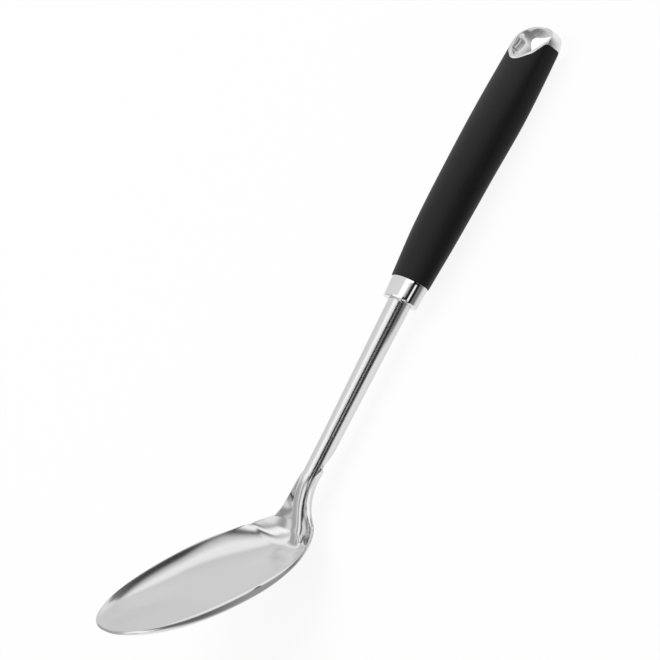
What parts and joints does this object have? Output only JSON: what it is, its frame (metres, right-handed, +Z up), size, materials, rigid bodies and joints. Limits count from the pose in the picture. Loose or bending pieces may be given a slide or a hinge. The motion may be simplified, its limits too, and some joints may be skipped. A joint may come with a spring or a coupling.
{
  "type": "cooking spoon",
  "caption": "Solid cooking spoon with a broad shallow steel bowl on a steeply cranked rolled shank, a polished collar, a soft black grip and a bright hanging cap.",
  "frame": {"origin": "middle of the spoon's bounding box, on the table it lies on", "axes": "+X across the spoon, +Y from the bowl to the end of the handle, +Z up; the spoon lies face up on the back of its heel and of its grip"},
  "size_m": [0.0664, 0.3314, 0.0698],
  "materials": {
    "satin_steel": "satin stainless sheet",
    "bright_chrome": "polished bright plating",
    "core_plastic": "plain moulded plastic",
    "soft_grip": "matt black soft-touch skin",
    "pin_steel": "plain drawn wire"
  },
  "bodies": {
    "root": {"blade": "satin_steel", "collar": "bright_chrome", "handle_core": "core_plastic", "grip_sleeve": "soft_grip", "end_cap": "bright_chrome", "tang_pin_low": "pin_steel", "tang_pin_high": "pin_steel", "cap_pin": "pin_steel", "tube_plug": "core_plastic"}
  },
  "joints": []
}
